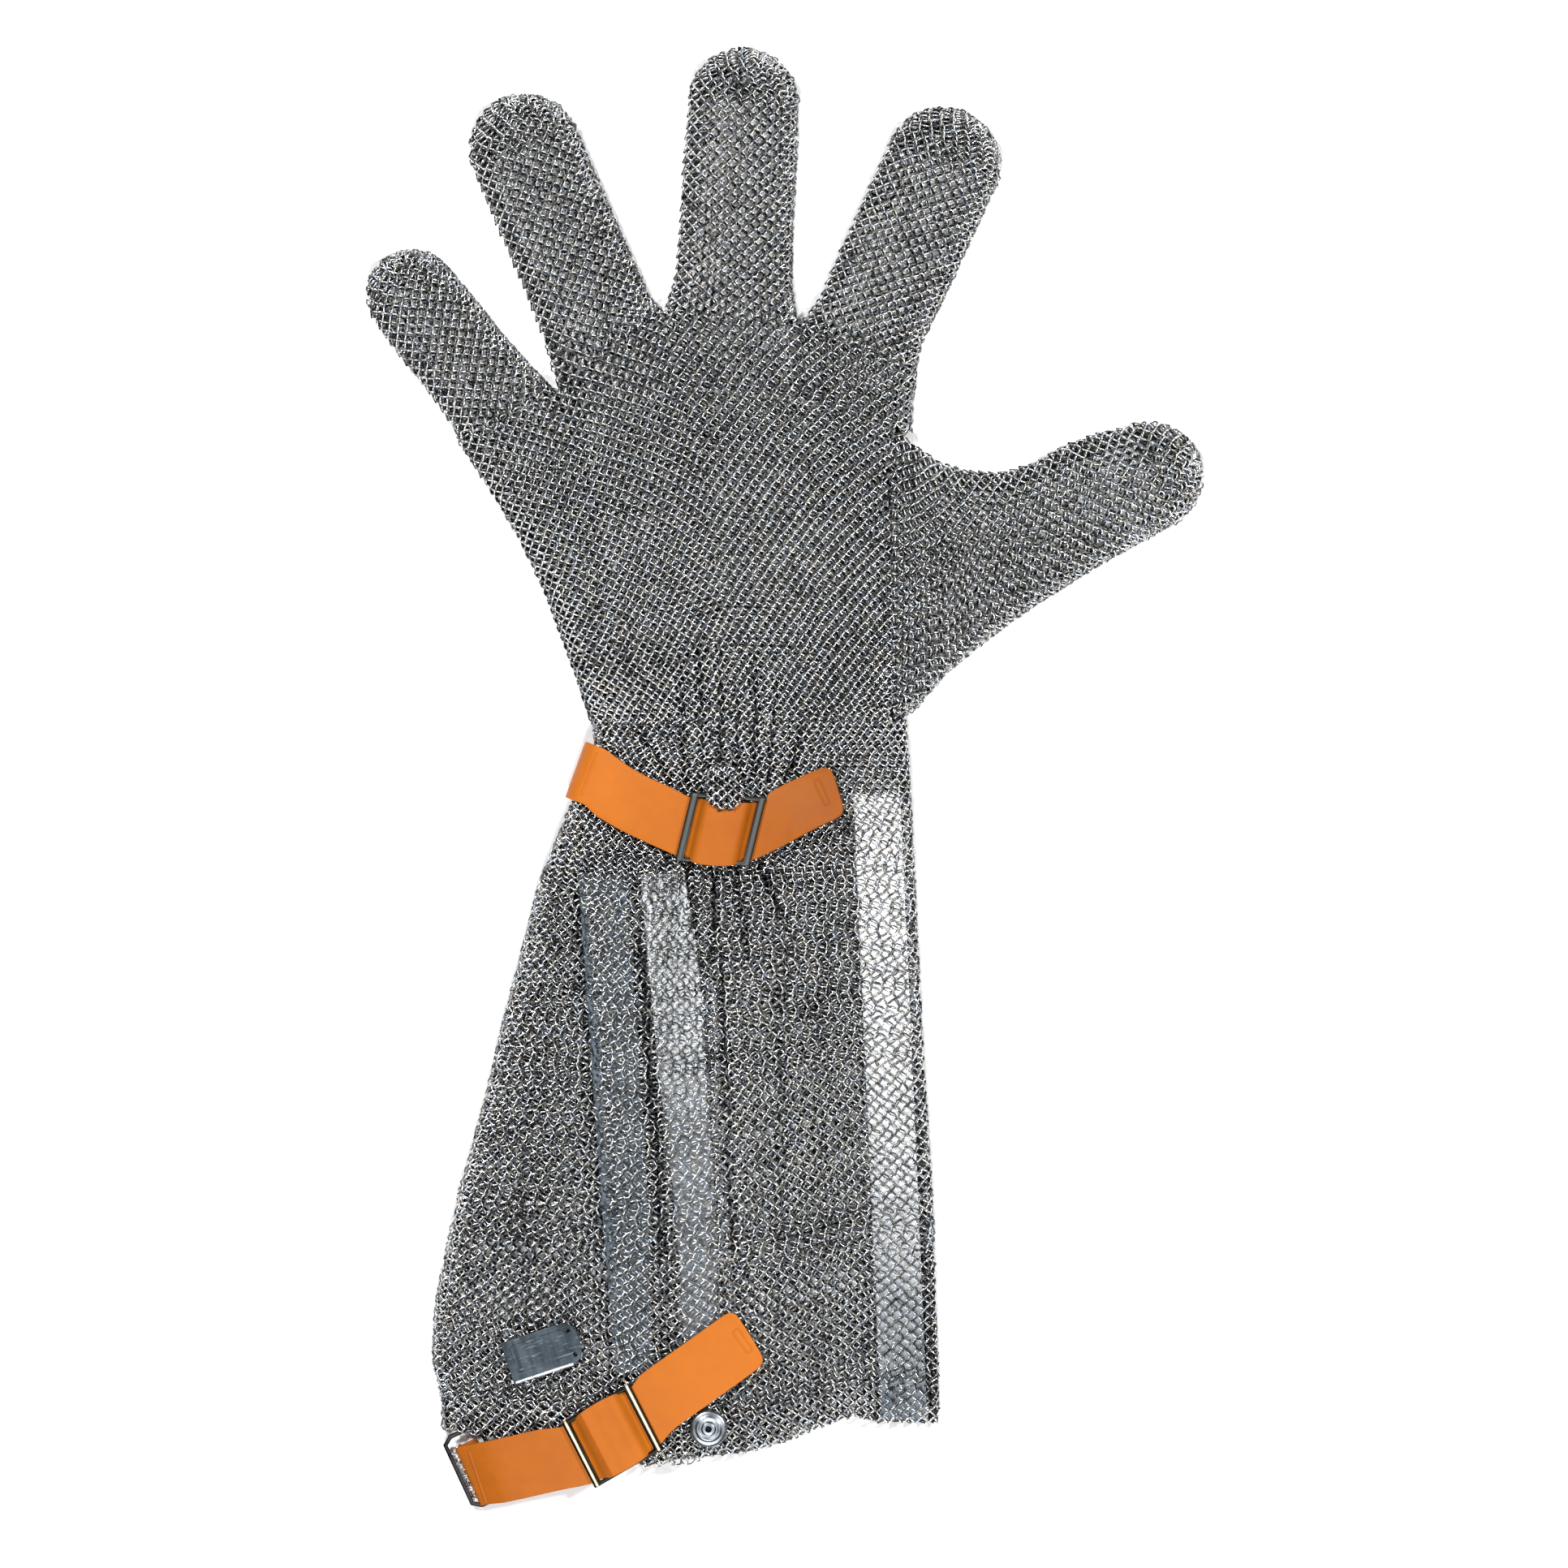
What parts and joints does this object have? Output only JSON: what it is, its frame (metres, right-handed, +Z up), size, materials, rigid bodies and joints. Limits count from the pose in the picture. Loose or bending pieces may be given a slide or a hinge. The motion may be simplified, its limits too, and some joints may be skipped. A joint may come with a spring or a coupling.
{
  "type": "chainmail glove",
  "caption": "Steel ring mesh glove lying flat on its palm side, with a long flared cuff, plastic stays in the cuff and orange straps with slide buckles.",
  "frame": {"origin": "middle of the glove's outline, on the surface it lies on", "axes": "+Y from the cuff to the fingertips, +X to the thumb's side, +Z up through the straps' side"},
  "size_m": [0.2682, 0.4703, 0.0236],
  "materials": {
    "mail_steel": "bright stainless steel wire rings",
    "stay_white": "white flexible plastic strip",
    "stay_grey": "blue-grey flexible plastic strip",
    "strap_orange": "smooth orange coated strap",
    "buckle_steel": "dark stamped steel",
    "loop_black": "black coated wire",
    "stud_steel": "pressed steel cap",
    "plate_steel": "thin dull steel plate"
  },
  "bodies": {
    "root": {"palm_mail": "mail_steel", "little_finger_mail": "mail_steel", "ring_finger_mail": "mail_steel", "middle_finger_mail": "mail_steel", "index_finger_mail": "mail_steel", "thumb_mail": "mail_steel", "cuff_mail": "mail_steel", "thumb_side_stay": "stay_white", "slit_stay": "stay_white", "outer_stay": "stay_grey", "wrist_strap": "strap_orange", "wrist_buckle": "buckle_steel", "forearm_strap": "strap_orange", "forearm_buckle": "buckle_steel", "end_loop": "loop_black", "press_stud": "stud_steel", "marking_plate": "plate_steel"}
  },
  "joints": []
}
